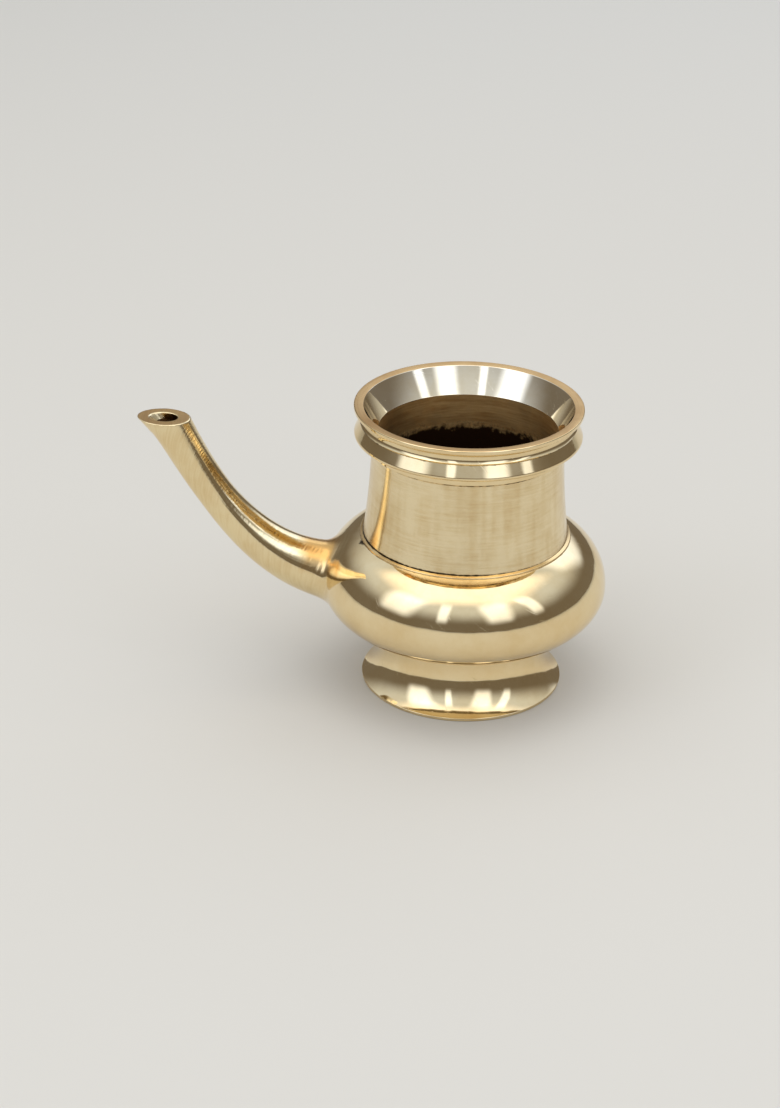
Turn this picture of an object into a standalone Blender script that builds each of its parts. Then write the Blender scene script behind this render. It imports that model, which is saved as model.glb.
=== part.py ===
# Brass spouted water vessel: turned castings joined by brazed seams, with a curved pouring spout.
# The origin is under the middle of the vessel's overall length, on the surface it stands on.
# The spout points along -X and the turned body stands on its own axis at +X.

from math import asin, cos, pi, radians, sin, sqrt

import bmesh
import bpy
from mathutils import Vector

MM = 0.001

# Driving dimensions, in millimetres
CLEARANCE = 0.3

FOOT_HEIGHT = 19.0
FOOT_BASE_RADIUS = 30.6
FOOT_WAIST_RADIUS = 23.4
FOOT_WALL = 2.1
FOOT_LAND = 2.8
FOOT_EDGE = 0.5
FOOT_FLARE_HEIGHT = 6.0

BELLY_RADIUS = 43.0
BELLY_WALL = 2.6
BOWL_DEPTH = 13.2
BOWL_FLAT_RADIUS = 24.0
SHOULDER_RISE = 16.6
SHOULDER_CROWN_RADIUS = 26.9
LAP_HEIGHT = 2.5
LAP_THICKNESS = 0.9
SEAM_GROOVE = 1.0

LOCATING_RING_DEPTH = 2.0
LOCATING_RING_WALL = 1.6

NECK_HEIGHT = 31.4
NECK_BASE_RADIUS = 30.8
NECK_TOP_RADIUS = 28.6
NECK_WALL = 1.8
NECK_SPIGOT_STEP = 0.8
NECK_SPIGOT_LENGTH = 2.4

MOUTH_HEIGHT = 9.25
LIP_OVERHANG = 5.4
LIP_THICKNESS = 1.6
LIP_FACE = 2.9
LIP_FACE_DIP = 0.25
COVE_RADIUS = 2.0
COVE_START_ANGLE = 110
COVE_END_ANGLE = 235
COLLAR_OVERHANG = 5.2
COLLAR_EDGE = 0.9
COLLAR_BEVEL_ANGLE = 30
COLLAR_RISE = 0.45
FUNNEL_START = 1.15
SOCKET_DEPTH = 3.1
SOCKET_WALL = 1.3

SPOUT_ROOT_SINK = 10.5
SPOUT_ROOT_RISE = 1.9
SPOUT_ROOT_ANGLE = -2.8
SPOUT_ROOT_PULL = 35.3
SPOUT_REACH = 46.9
SPOUT_TIP_DROP = 5.6
SPOUT_TIP_ANGLE = 50.0
SPOUT_TIP_PULL = 10.0
SPOUT_ROOT_RADIUS = 10.0
SPOUT_WAIST_RADIUS = 5.4
SPOUT_TIP_RADIUS = 6.0
SPOUT_WAIST_PLACE = 0.565
SPOUT_TAPER = 1.5
SPOUT_ROOT_BORE = 6.8
SPOUT_WAIST_BORE = 2.9
SPOUT_TIP_BORE = 3.2

BEAD_SIZE = 1.1
BEAD_EDGE = 0.25
SPOUT_FILLET = 5.5

# Facets of the turned pieces, the spout and each curve, and the sharpest edge that is shaded smooth
TURN_STEPS = 40
SPOUT_STEPS = 22
SPOUT_SIDES = 24
BORE_SIDES = 16
FILLET_SIDES = 36
FILLET_STEPS = 4
ARC_STEPS = 7
EDGE_STEPS = 6
BEAD_STEPS = 3
SHARP_ANGLE = 35

# Heights and radii worked out from the driving dimensions
bowl_base = FOOT_HEIGHT + CLEARANCE
equator = bowl_base + BOWL_DEPTH
neck_bore_base = NECK_BASE_RADIUS - NECK_WALL
spigot_radius = NECK_BASE_RADIUS - NECK_SPIGOT_STEP
shoulder_opening = spigot_radius + CLEARANCE


def belly_outline(radius, offset=0.0):
    """Height of the shoulder's surface at a radius, moved outwards by an offset."""
    across = (radius - SHOULDER_CROWN_RADIUS) / (BELLY_RADIUS - SHOULDER_CROWN_RADIUS + offset)
    return equator + (SHOULDER_RISE + offset) * sqrt(max(0.0, 1.0 - across * across))


neck_seat = belly_outline(shoulder_opening) + CLEARANCE
neck_top = neck_seat + NECK_HEIGHT
mouth_seat = neck_top + CLEARANCE
lip_top = mouth_seat + MOUTH_HEIGHT
lip_radius = NECK_TOP_RADIUS + LIP_OVERHANG
collar_radius = NECK_TOP_RADIUS + COLLAR_OVERHANG
spout_tip_reach = BELLY_RADIUS + SPOUT_REACH
spout_tip_height = lip_top - SPOUT_TIP_DROP
spout_end = spout_tip_reach + SPOUT_TIP_RADIUS / sin(radians(SPOUT_TIP_ANGLE))
axis_x = (spout_end - BELLY_RADIUS) / 2


def arc(middle, reach, start, end, steps=ARC_STEPS):
    """Points on an ellipse, from a start angle to an end angle in degrees."""
    points = []
    for step in range(steps + 1):
        angle = radians(start + (end - start) * step / steps)
        points.append((middle[0] + reach[0] * cos(angle), middle[1] + reach[1] * sin(angle)))
    return points


def sweep(start, pull, end, steps=ARC_STEPS):
    """Points on a curve that leaves the start and meets the end towards one pulling point."""
    points = []
    for step in range(steps + 1):
        t = step / steps
        weights = ((1 - t) ** 2, 2 * t * (1 - t), t * t)
        points.append(tuple(
            weights[0] * a + weights[1] * b + weights[2] * c
            for a, b, c in zip(start, pull, end)
        ))
    return points


# An empty scene, with one collection for the pieces and one for the cutters
for old in list(bpy.data.objects):
    bpy.data.objects.remove(old, do_unlink=True)

vessel = bpy.data.collections.new("brass_spouted_vessel")
cutters = bpy.data.collections.new("cutters")
bpy.context.scene.collection.children.link(vessel)
bpy.context.scene.collection.children.link(cutters)

body_axis = bpy.data.objects.new("body_axis", None)
body_axis.location = (axis_x * MM, 0, 0)
vessel.objects.link(body_axis)


def metal(name, colour, roughness):
    material = bpy.data.materials.new(name)
    material.use_nodes = True
    shader = material.node_tree.nodes["Principled BSDF"]
    shader.inputs["Base Color"].default_value = (*colour, 1)
    shader.inputs["Metallic"].default_value = 1.0
    shader.inputs["Roughness"].default_value = roughness
    return material


def place(obj, collection, material=None):
    """Put an object on the body's axis, in its collection, as a piece or as a hidden cutter."""
    collection.objects.link(obj)
    obj.parent = body_axis
    if collection is cutters:
        obj.hide_render = True
        obj.display_type = "WIRE"
    if material:
        obj.data.materials.append(material)
    return obj


def turned(name, profile, collection, material=None, closed=True):
    """Turn a profile of (radius, height) points in millimetres round the body's axis."""
    mesh = bpy.data.meshes.new(name)
    points = [(radius * MM, 0, height * MM) for radius, height in profile]
    edges = [(i, i + 1) for i in range(len(points) - 1)]
    if closed:
        edges.append((len(points) - 1, 0))
    mesh.from_pydata(points, edges, [])
    obj = place(bpy.data.objects.new(name, mesh), collection, material)
    lathe = obj.modifiers.new("lathe", "SCREW")
    lathe.axis = "Z"
    lathe.steps = TURN_STEPS
    lathe.render_steps = TURN_STEPS
    lathe.use_merge_vertices = True
    lathe.merge_threshold = 0.00001
    lathe.use_smooth_shade = True
    return obj


def cut(piece, cutter):
    tool = piece.modifiers.new("cut_" + cutter.name, "BOOLEAN")
    tool.operation = "DIFFERENCE"
    tool.solver = "EXACT"
    tool.object = cutter


# Foot: a hollow flared ring that the vessel stands on
def foot_ring():
    base_radius = FOOT_BASE_RADIUS - FOOT_EDGE
    bore = FOOT_WAIST_RADIUS - FOOT_WALL
    flare_top = FOOT_HEIGHT - LOCATING_RING_DEPTH - CLEARANCE
    profile = [(FOOT_WAIST_RADIUS, FOOT_HEIGHT)]
    profile += sweep(
        (FOOT_WAIST_RADIUS, flare_top), (FOOT_WAIST_RADIUS, FOOT_FLARE_HEIGHT),
        (FOOT_BASE_RADIUS, 2 * FOOT_EDGE),
    )
    profile += arc((base_radius, FOOT_EDGE), (FOOT_EDGE, FOOT_EDGE), 0, -90, BEAD_STEPS)
    profile += sweep((base_radius - FOOT_LAND, 0), (bore, FOOT_FLARE_HEIGHT), (bore, flare_top))
    profile.append((bore, FOOT_HEIGHT))
    return turned("foot_ring", profile, vessel, metal("foot_brass", (0.74, 0.56, 0.29), 0.15))


# Lower half of the belly: a dish with a locating ring for the foot and a lap for the upper half
def bowl_shell():
    middle = (BOWL_FLAT_RADIUS, equator)
    reach = (BELLY_RADIUS - BOWL_FLAT_RADIUS, BOWL_DEPTH)
    inside = (reach[0] - BELLY_WALL, reach[1] - BELLY_WALL)
    lap_inner = BELLY_RADIUS - BELLY_WALL
    lap_outer = lap_inner + LAP_THICKNESS
    seam = equator - CLEARANCE / 2
    ring_outer = FOOT_WAIST_RADIUS - FOOT_WALL - CLEARANCE
    ring_inner = ring_outer - LOCATING_RING_WALL
    ring_base = bowl_base - LOCATING_RING_DEPTH
    groove_angle = -180 / pi * asin((SEAM_GROOVE + CLEARANCE / 2) / BOWL_DEPTH)
    profile = [(0, bowl_base + BELLY_WALL)]
    profile += arc(middle, inside, -90, 0)
    profile += [(lap_inner, equator + LAP_HEIGHT), (lap_outer, equator + LAP_HEIGHT)]
    profile += [(lap_outer, seam), (BELLY_RADIUS - SEAM_GROOVE, seam)]
    profile += arc(middle, reach, groove_angle, -90)
    profile += [(ring_outer, bowl_base), (ring_outer, ring_base)]
    profile += [(ring_inner, ring_base), (ring_inner, bowl_base), (0, bowl_base)]
    material = metal("bowl_brass", (0.76, 0.58, 0.31), 0.12)
    return turned("bowl_shell", profile, vessel, material, closed=False)


# Upper half of the belly: rebated over the lap below, with a round opening for the neck
def shoulder_shell():
    middle = (SHOULDER_CROWN_RADIUS, equator)
    reach = (BELLY_RADIUS - SHOULDER_CROWN_RADIUS, SHOULDER_RISE)
    inside = (reach[0] - BELLY_WALL, reach[1] - BELLY_WALL)
    seam = equator + CLEARANCE / 2
    rebate_top = equator + LAP_HEIGHT + CLEARANCE
    rebate_radius = BELLY_RADIUS - BELLY_WALL + LAP_THICKNESS + CLEARANCE
    opening_angle = 90 - 180 / pi * asin((shoulder_opening - SHOULDER_CROWN_RADIUS) / reach[0])
    inner_angle = 90 - 180 / pi * asin((shoulder_opening - SHOULDER_CROWN_RADIUS) / inside[0])
    groove_angle = 180 / pi * asin((SEAM_GROOVE + CLEARANCE / 2) / SHOULDER_RISE)
    rebate_angle = 180 / pi * asin((rebate_top - equator) / inside[1])
    profile = arc(middle, reach, opening_angle, groove_angle)
    profile += [(BELLY_RADIUS - SEAM_GROOVE, seam), (rebate_radius, seam), (rebate_radius, rebate_top)]
    profile += arc(middle, inside, rebate_angle, inner_angle)
    return turned("shoulder_shell", profile, vessel, metal("shoulder_brass", (0.78, 0.61, 0.34), 0.1))


# Neck: a tube that widens downwards, with a spigot through the shoulder's opening
def neck_radius(height):
    down = (neck_top - height) / NECK_HEIGHT
    return NECK_TOP_RADIUS + (NECK_BASE_RADIUS - NECK_TOP_RADIUS) * down * down


def neck_tube():
    heights = [neck_top - NECK_HEIGHT * step / ARC_STEPS for step in range(ARC_STEPS + 1)]
    spigot_end = neck_seat - NECK_SPIGOT_LENGTH
    profile = [(neck_radius(height), height) for height in heights]
    profile += [(spigot_radius, neck_seat), (spigot_radius, spigot_end), (neck_bore_base, spigot_end)]
    profile += [(neck_radius(height) - NECK_WALL, height) for height in reversed(heights)]
    return turned("neck_tube", profile, vessel, metal("neck_brass", (0.72, 0.55, 0.3), 0.25))


# Mouth: rounded lip, funnel, cove and collar in one turned ring that caps the neck
def mouth_ring():
    bore = NECK_TOP_RADIUS - NECK_WALL
    socket = NECK_TOP_RADIUS + CLEARANCE
    skirt = socket + SOCKET_WALL
    socket_end = mouth_seat - SOCKET_DEPTH
    half_lip = LIP_THICKNESS / 2
    lip_middle = (lip_radius - half_lip, lip_top - half_lip)
    cove_middle = (lip_middle[0], lip_top - LIP_THICKNESS - COVE_RADIUS)
    collar_middle = (collar_radius - COLLAR_EDGE, mouth_seat + COLLAR_RISE)
    profile = arc(lip_middle, (half_lip, half_lip), 90, -90, EDGE_STEPS)
    profile += arc(cove_middle, (COVE_RADIUS, COVE_RADIUS), COVE_START_ANGLE, COVE_END_ANGLE, EDGE_STEPS)
    profile += arc(collar_middle, (COLLAR_EDGE, COLLAR_EDGE), COLLAR_BEVEL_ANGLE, -90, EDGE_STEPS)
    profile += [(skirt, mouth_seat - SOCKET_DEPTH / 2), (skirt, socket_end), (socket, socket_end)]
    profile += [(socket, mouth_seat), (bore, mouth_seat), (bore, mouth_seat + FUNNEL_START)]
    profile.append((lip_radius - LIP_FACE, lip_top - LIP_FACE_DIP))
    return turned("mouth_ring", profile, vessel, metal("mouth_brass", (0.8, 0.64, 0.38), 0.1))


# Spout: a tapered pipe, bored through, flush with the belly's inside and cut level at its tip
root_way = Vector((-cos(radians(SPOUT_ROOT_ANGLE)), 0, sin(radians(SPOUT_ROOT_ANGLE))))
tip_way = Vector((-cos(radians(SPOUT_TIP_ANGLE)), 0, sin(radians(SPOUT_TIP_ANGLE))))
spout_root = Vector((SPOUT_ROOT_SINK - BELLY_RADIUS, 0, equator + SPOUT_ROOT_RISE))
spout_tip = Vector((-spout_tip_reach, 0, spout_tip_height))
spout_pulls = (spout_root + root_way * SPOUT_ROOT_PULL, spout_tip - tip_way * SPOUT_TIP_PULL)
spout_sizes = (SPOUT_ROOT_RADIUS, SPOUT_WAIST_RADIUS, SPOUT_TIP_RADIUS)
bore_sizes = (SPOUT_ROOT_BORE, SPOUT_WAIST_BORE, SPOUT_TIP_BORE)


def spout_middle(t):
    """Point and travel on the spout's centre line, with t from 0 at its root to 1 at its tip."""
    s = 1 - t
    near, far = spout_pulls
    point = spout_root * s**3 + near * (3 * s * s * t) + far * (3 * s * t * t) + spout_tip * t**3
    travel = (near - spout_root) * (3 * s * s) + (far - near) * (6 * s * t)
    travel += (spout_tip - far) * (3 * t * t)
    return point, travel


def waisted(t, root, waist, tip):
    """A radius that narrows from the root to the waist and opens a little to the tip."""
    if t < SPOUT_WAIST_PLACE:
        return waist + (root - waist) * (1 - t / SPOUT_WAIST_PLACE) ** SPOUT_TAPER
    return waist + (tip - waist) * ((t - SPOUT_WAIST_PLACE) / (1 - SPOUT_WAIST_PLACE)) ** 2


def tube(name, sizes, sides, collection, extra=0.0, material=None):
    """A round bar along the spout's centre line, a curve made into a mesh, running past the tip."""
    curve = bpy.data.curves.new(name, "CURVE")
    curve.dimensions = "3D"
    curve.bevel_depth = MM
    curve.bevel_resolution = sides // 2 - 2
    curve.use_fill_caps = True
    stops = [(step + 0.5) / SPOUT_STEPS for step in range(SPOUT_STEPS)]
    places = [spout_middle(t)[0] for t in stops]
    sizes_along = [waisted(t, *sizes) + extra for t in stops]
    places.append(spout_tip + tip_way * 2 * SPOUT_TIP_RADIUS)
    sizes_along.append(sizes[-1] + extra)
    spline = curve.splines.new("POLY")
    spline.points.add(len(places) - 1)
    for point, where, radius in zip(spline.points, places, sizes_along):
        point.co = (*(where * MM), 1)
        point.radius = radius
    bar = bpy.data.objects.new(name + "_curve", curve)
    bpy.context.scene.collection.objects.link(bar)
    evaluated = bar.evaluated_get(bpy.context.evaluated_depsgraph_get())
    mesh = bpy.data.meshes.new_from_object(evaluated)
    mesh.name = name
    bpy.data.objects.remove(bar, do_unlink=True)
    tidy_mesh(mesh)
    mesh.materials.clear()
    return place(bpy.data.objects.new(name, mesh), collection, material)


def tidy_mesh(mesh):
    """Weld a mesh's seams, turn its faces outwards and shade its round sides smooth."""
    bm = bmesh.new()
    bm.from_mesh(mesh)
    bmesh.ops.remove_doubles(bm, verts=bm.verts, dist=0.000001)
    bmesh.ops.recalc_face_normals(bm, faces=bm.faces)
    bm.to_mesh(mesh)
    bm.free()
    mesh.shade_smooth()
    mesh.set_sharp_from_angle(angle=radians(SHARP_ANGLE))


def belly_cavity():
    """A solid the shape of the belly's inside, which trims the spout's inner end."""
    lower = (BELLY_RADIUS - BOWL_FLAT_RADIUS - BELLY_WALL, BOWL_DEPTH - BELLY_WALL)
    upper = (BELLY_RADIUS - SHOULDER_CROWN_RADIUS - BELLY_WALL, SHOULDER_RISE - BELLY_WALL)
    profile = [(0, equator + upper[1])]
    profile += arc((SHOULDER_CROWN_RADIUS, equator), upper, 90, 0)
    profile += arc((BOWL_FLAT_RADIUS, equator), lower, 0, -90)[1:]
    profile.append((0, bowl_base + BELLY_WALL))
    return turned("belly_cavity", profile, cutters, closed=False)


def tip_level():
    """A block whose underside is the level cut of the spout's tip."""
    size = 8 * SPOUT_TIP_RADIUS
    bpy.ops.mesh.primitive_cube_add(size=size * MM)
    block = bpy.context.active_object
    block.name = "tip_level"
    block.location = (-spout_tip_reach * MM, 0, (spout_tip_height + size / 2) * MM)
    for collection in list(block.users_collection):
        collection.objects.unlink(block)
    return place(block, cutters)


def spout_pipe():
    material = metal("spout_brass", (0.76, 0.57, 0.3), 0.18)
    pipe = tube("spout_pipe", spout_sizes, SPOUT_SIDES, vessel, 0.0, material)
    cut(pipe, belly_cavity())
    cut(pipe, tip_level())
    cut(pipe, tube("spout_bore", bore_sizes, BORE_SIDES, cutters))
    return pipe


# Brazed beads: thin rings of filler metal in the corners and grooves between the castings
filler = metal("braze_filler", (0.8, 0.55, 0.25), 0.35)


def hanging_bead(name, inner, top):
    """A bead in the corner under a flat face, thin at its outer edge and running down a wall."""
    outer = inner + BEAD_SIZE
    profile = [(inner, top), (outer, top)]
    edge = top - BEAD_EDGE
    profile += sweep((outer, edge), (inner + BEAD_EDGE, edge), (inner, top - BEAD_SIZE), BEAD_STEPS)
    return turned(name, profile, vessel, filler)


def rim_braze():
    top = mouth_seat - SOCKET_DEPTH - CLEARANCE
    return hanging_bead("rim_braze", neck_radius(top - BEAD_SIZE) + CLEARANCE, top)


def foot_braze():
    return hanging_bead("foot_braze", FOOT_WAIST_RADIUS + CLEARANCE, bowl_base - CLEARANCE)


def neck_braze():
    inner = NECK_BASE_RADIUS + CLEARANCE
    outer = inner + BEAD_SIZE
    inner_floor = belly_outline(inner, CLEARANCE)
    outer_floor = belly_outline(outer, CLEARANCE)
    profile = sweep(
        (inner, inner_floor + BEAD_SIZE), (inner + BEAD_EDGE, inner_floor + BEAD_EDGE),
        (outer, outer_floor + BEAD_EDGE), BEAD_STEPS,
    )
    profile += [(outer, outer_floor), (inner, inner_floor)]
    return turned("neck_braze", profile, vessel, filler)


def belly_braze():
    half = SEAM_GROOVE + CLEARANCE / 2 - CLEARANCE * sqrt(2)
    profile = [(BELLY_RADIUS, equator + half), (BELLY_RADIUS, equator - half)]
    profile.append((BELLY_RADIUS - half, equator))
    return turned("belly_braze", profile, vessel, filler)


# Spout fillet: a saddle of filler, lofted between a ring on the pipe and a ring on the belly
def on_pipe(t, turn, extra):
    """A point on the spout's surface, raised by extra, at a turn from its upper side."""
    middle, travel = spout_middle(t)
    way = travel.normalized()
    upward = Vector((way.z, 0, -way.x))
    radius = waisted(t, *spout_sizes) + extra
    return middle + radius * (cos(turn) * upward + sin(turn) * Vector((0, 1, 0)))


def belly_level(point, extra):
    """Negative inside the belly's surface raised by extra, positive outside, with its slope."""
    radius = Vector((point.x, point.y)).length
    middle = SHOULDER_CROWN_RADIUS if point.z >= equator else BOWL_FLAT_RADIUS
    reach = (SHOULDER_RISE if point.z >= equator else BOWL_DEPTH) + extra
    width = BELLY_RADIUS - middle + extra
    across = (radius - middle) / width
    up = (point.z - equator) / reach
    outward = Vector((point.x, point.y, 0)) / radius
    slope = 2 * (outward * across / width + Vector((0, 0, up / reach)))
    return across * across + up * up - 1, slope


def on_belly(point, extra):
    """The point moved square on to the belly's surface raised by extra."""
    for _ in range(5):
        level, slope = belly_level(point, extra)
        point = point - slope * (level / slope.length_squared)
    return point


def fillet_section(turn):
    """One closed section of the fillet, through the line where the pipe meets the belly."""
    inside, outside = 0.0, SPOUT_WAIST_PLACE
    for _ in range(40):
        t = (inside + outside) / 2
        if belly_level(on_pipe(t, turn, CLEARANCE), CLEARANCE)[0] < 0:
            inside = t
        else:
            outside = t
    corner = on_pipe(inside, turn, CLEARANCE)
    middle, travel = spout_middle(inside)
    pipe_stop = inside + SPOUT_FILLET / travel.length
    slope = belly_level(corner, CLEARANCE)[1].normalized()
    away = corner - middle
    away = (away - slope * away.dot(slope)).normalized()
    foot = on_belly(corner + away * SPOUT_FILLET, CLEARANCE)
    halfway = on_belly(corner + away * SPOUT_FILLET / 2, CLEARANCE)
    crest = on_pipe(pipe_stop, turn, CLEARANCE + BEAD_EDGE)
    toe = on_belly(foot, CLEARANCE + BEAD_EDGE)
    pull = on_belly(on_pipe(inside, turn, CLEARANCE + BEAD_EDGE), CLEARANCE + BEAD_EDGE)
    upper_edge = on_pipe(pipe_stop, turn, CLEARANCE)
    return [corner, upper_edge, *sweep(crest, pull, toe, FILLET_STEPS), foot, halfway]


def spout_braze():
    sections = [fillet_section(2 * pi * side / FILLET_SIDES) for side in range(FILLET_SIDES)]
    count = len(sections[0])
    points = [Vector(point) * MM for section in sections for point in section]
    faces = []
    for side in range(FILLET_SIDES):
        here = side * count
        there = (side + 1) % FILLET_SIDES * count
        for i in range(count):
            j = (i + 1) % count
            faces.append((here + i, here + j, there + j, there + i))
    mesh = bpy.data.meshes.new("spout_braze")
    mesh.from_pydata(points, [], faces)
    tidy_mesh(mesh)
    return place(bpy.data.objects.new("spout_braze", mesh), vessel, filler)


# The assembly, from the foot up, with the spout's hole cut through both halves and their seam
foot_ring()
bowl = bowl_shell()
shoulder = shoulder_shell()
neck_tube()
mouth_ring()
spout_pipe()
rim_braze()
neck_braze()
seam_bead = belly_braze()
foot_braze()
spout_braze()
spout_hole = tube("spout_hole", spout_sizes, SPOUT_SIDES, cutters, CLEARANCE)
for piece in (bowl, shoulder, seam_bead):
    cut(piece, spout_hole)
bpy.context.view_layer.update()
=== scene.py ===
from math import asin, atan2, cos, degrees, pi, radians, sin, sqrt, tan

import bpy
from mathutils import Matrix, Vector


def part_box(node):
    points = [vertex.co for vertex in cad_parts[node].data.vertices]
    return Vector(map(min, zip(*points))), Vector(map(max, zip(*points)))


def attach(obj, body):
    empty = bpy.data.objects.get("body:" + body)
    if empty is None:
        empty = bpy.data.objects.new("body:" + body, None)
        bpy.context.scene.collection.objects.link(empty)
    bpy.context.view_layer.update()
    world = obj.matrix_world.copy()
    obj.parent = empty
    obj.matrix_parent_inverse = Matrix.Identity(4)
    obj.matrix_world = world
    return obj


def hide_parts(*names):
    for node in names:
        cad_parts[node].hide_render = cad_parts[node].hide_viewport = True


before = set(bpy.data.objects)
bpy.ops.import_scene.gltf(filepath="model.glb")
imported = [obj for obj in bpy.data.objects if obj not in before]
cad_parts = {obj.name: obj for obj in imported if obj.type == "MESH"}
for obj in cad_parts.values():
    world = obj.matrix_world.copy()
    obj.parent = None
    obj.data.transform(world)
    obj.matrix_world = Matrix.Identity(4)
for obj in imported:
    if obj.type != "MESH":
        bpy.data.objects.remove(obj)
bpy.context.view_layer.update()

# Foot: the hollow flared ring that the vessel stands on.
# Cast brass, turned and buffed outside and left as cast in its hollow.
# It goes under the belly, where a locating ring centres it, and is brazed there.
MM = 0.001
WELD = 0.001 * MM
SMOOTH_ANGLE = radians(25)
TURN_STEPS = 360
FACING = 0.1
low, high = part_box("foot_ring")
axis = Vector(((low.x + high.x) / 2, 0, 0))
foot_height = 19.3
foot_waist = 23.4
foot_bore = 21.3
foot_base = 30.6
foot_edge = 0.5
foot_land = 27.3
flare_start = 16.7
flare_pull = 6.0
brim_round = 0.2
brim_drop = 0.12
foot_residue_and_shade_start = 17.4
foot_residue_and_shade_rise = 2.8


def arc(middle, reach, start, end, steps=32):
    """Points on an ellipse, from a start angle to an end angle in degrees."""
    points = []
    for step in range(steps + 1):
        angle = radians(start + (end - start) * step / steps)
        points.append((middle[0] + reach[0] * cos(angle), middle[1] + reach[1] * sin(angle)))
    return points


def sweep(start, pull, end, steps=32):
    """Points on a curve that leaves the start and meets the end towards one pulling point."""
    points = []
    for step in range(steps + 1):
        t = step / steps
        points.append(tuple(
            (1 - t) ** 2 * a + 2 * t * (1 - t) * b + t * t * c for a, b, c in zip(start, pull, end)
        ))
    return points


def turn(name, outline, closed=True):
    """Draws an outline of (radius, height) points by extruding one point, then spins it round
    the axis."""
    points = [axis + Vector((radius, 0, height)) * MM for radius, height in outline]
    bpy.ops.object.select_all(action="DESELECT")
    bpy.ops.mesh.primitive_plane_add(size=MM, location=points[0])
    piece = bpy.context.active_object
    piece.name = name
    bpy.ops.object.mode_set(mode="EDIT")
    bpy.ops.mesh.merge(type="CENTER")
    for here, there in zip(points, points[1:] + points[:closed]):
        bpy.ops.mesh.extrude_vertices_move(TRANSFORM_OT_translate={"value": there - here})
    bpy.ops.mesh.select_all(action="SELECT")
    bpy.ops.mesh.spin(steps=TURN_STEPS, angle=2 * pi, center=axis, axis=(0, 0, 1))
    bpy.ops.mesh.select_all(action="SELECT")
    bpy.ops.mesh.remove_doubles(threshold=WELD)
    bpy.ops.mesh.normals_make_consistent(inside=False)
    bpy.ops.object.mode_set(mode="OBJECT")
    bpy.ops.object.transform_apply(location=True)
    bpy.ops.object.shade_smooth_by_angle(angle=SMOOTH_ANGLE)
    return piece


def finish_faces(piece, material, belongs):
    """Gives a material to the faces that pass a test of their radius and height in millimetres,
    and of how far they face outwards and upwards."""
    piece.data.materials.append(material)
    for face in piece.data.polygons:
        out = (face.center - axis).xy
        outward = face.normal.xy.dot(out.normalized())
        if belongs(out.length / MM, face.center.z / MM, outward, face.normal.z):
            face.material_index = len(piece.data.materials) - 1


def all_over(radius, height, outward, upward):
    """The test for a finish that covers the whole piece."""
    return True


def paint(piece, mark, amount):
    """Writes a named mark on each point, worked out from its radius and height in millimetres
    and its bearing on the axis in degrees."""
    marks = piece.data.attributes.new(mark, "FLOAT", "POINT")
    for vertex, point in zip(piece.data.vertices, marks.data):
        out = vertex.co - axis
        bearing = degrees(atan2(out.y, out.x))
        point.value = max(0.0, min(1.0, amount(out.xy.length / MM, out.z / MM, bearing)))


def linear(colour):
    """A colour written as sRGB hex, turned to the linear values that a shader takes."""
    values = [int(colour[i:i + 2], 16) / 255 for i in (1, 3, 5)]
    return (*[v / 12.92 if v <= 0.04045 else ((v + 0.055) / 1.055) ** 2.4 for v in values], 1)


def node(tree, kind, values=(), links=()):
    """Adds a node, with its fields or input values by name and its inputs' sources by name."""
    made = tree.nodes.new("ShaderNode" + kind)
    for name, value in dict(values).items():
        if isinstance(name, str) and hasattr(made, name):
            setattr(made, name, value)
        else:
            made.inputs[name].default_value = value
    for name, source in dict(links).items():
        tree.links.new(source, made.inputs[name])
    return made
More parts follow.
